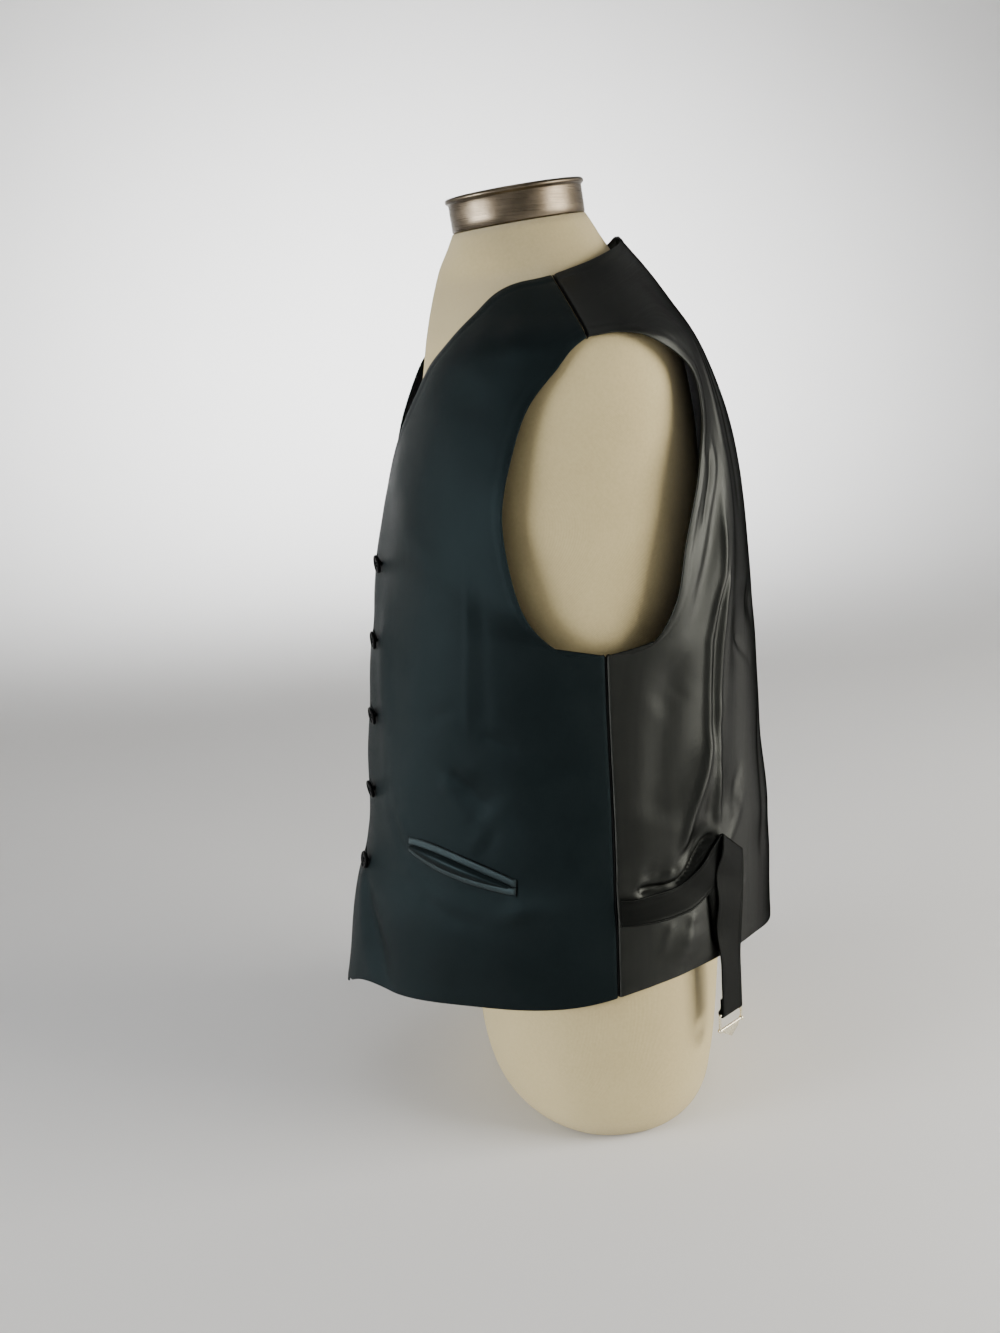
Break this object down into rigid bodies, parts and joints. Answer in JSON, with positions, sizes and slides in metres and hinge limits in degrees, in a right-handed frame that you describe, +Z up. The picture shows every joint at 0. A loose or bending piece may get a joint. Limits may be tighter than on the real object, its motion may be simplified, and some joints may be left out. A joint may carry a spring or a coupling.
{
  "type": "suit waistcoat on dress form",
  "caption": "Sleeveless single-breasted suit waistcoat with a satin back, jetted pockets and a back adjuster strap, worn on a limbless dress form with a metal neck cap",
  "frame": {"origin": "on the floor, at the middle of the flat underside of the form", "axes": "+X is the wearer's left, +Y the back, -Y the front and +Z up"},
  "size_m": [0.345, 0.3704, 0.7373],
  "materials": {
    "front_cloth": "smooth worsted, charcoal black",
    "back_satin": "satin lining cloth, black",
    "jet_cloth": "smooth worsted, charcoal, pressed",
    "pocket_cloth": "pocketing, dull black",
    "button_horn": "black, soft gloss",
    "buckle_metal": "pale gold, polished",
    "form_jersey": "fine knitted jersey, cream",
    "cap_steel": "brushed, round grain"
  },
  "bodies": {
    "waistcoat_on_form": {"front_left": "front_cloth", "front_right": "front_cloth", "back_left": "back_satin", "back_right": "back_satin", "jet_upper_left": "jet_cloth", "jet_lower_left": "jet_cloth", "jet_upper_right": "jet_cloth", "jet_lower_right": "jet_cloth", "pocket_bag_left": "pocket_cloth", "pocket_bag_right": "pocket_cloth", "button_1": "button_horn", "button_2": "button_horn", "button_3": "button_horn", "button_4": "button_horn", "button_5": "button_horn", "strap_left": "back_satin", "strap_right": "back_satin", "form_torso": "form_jersey", "form_neck_cap": "cap_steel"},
    "buckle": {"buckle": "buckle_metal"}
  },
  "joints": [
    {"name": "buckle_swing", "type": "hinge", "parent": "waistcoat_on_form", "child": "buckle", "pos_m": [0.13295, 0.09553, 0.093], "axis": [-0.6649, 0.7469, 0], "range_deg": [-150, 75]}
  ]
}
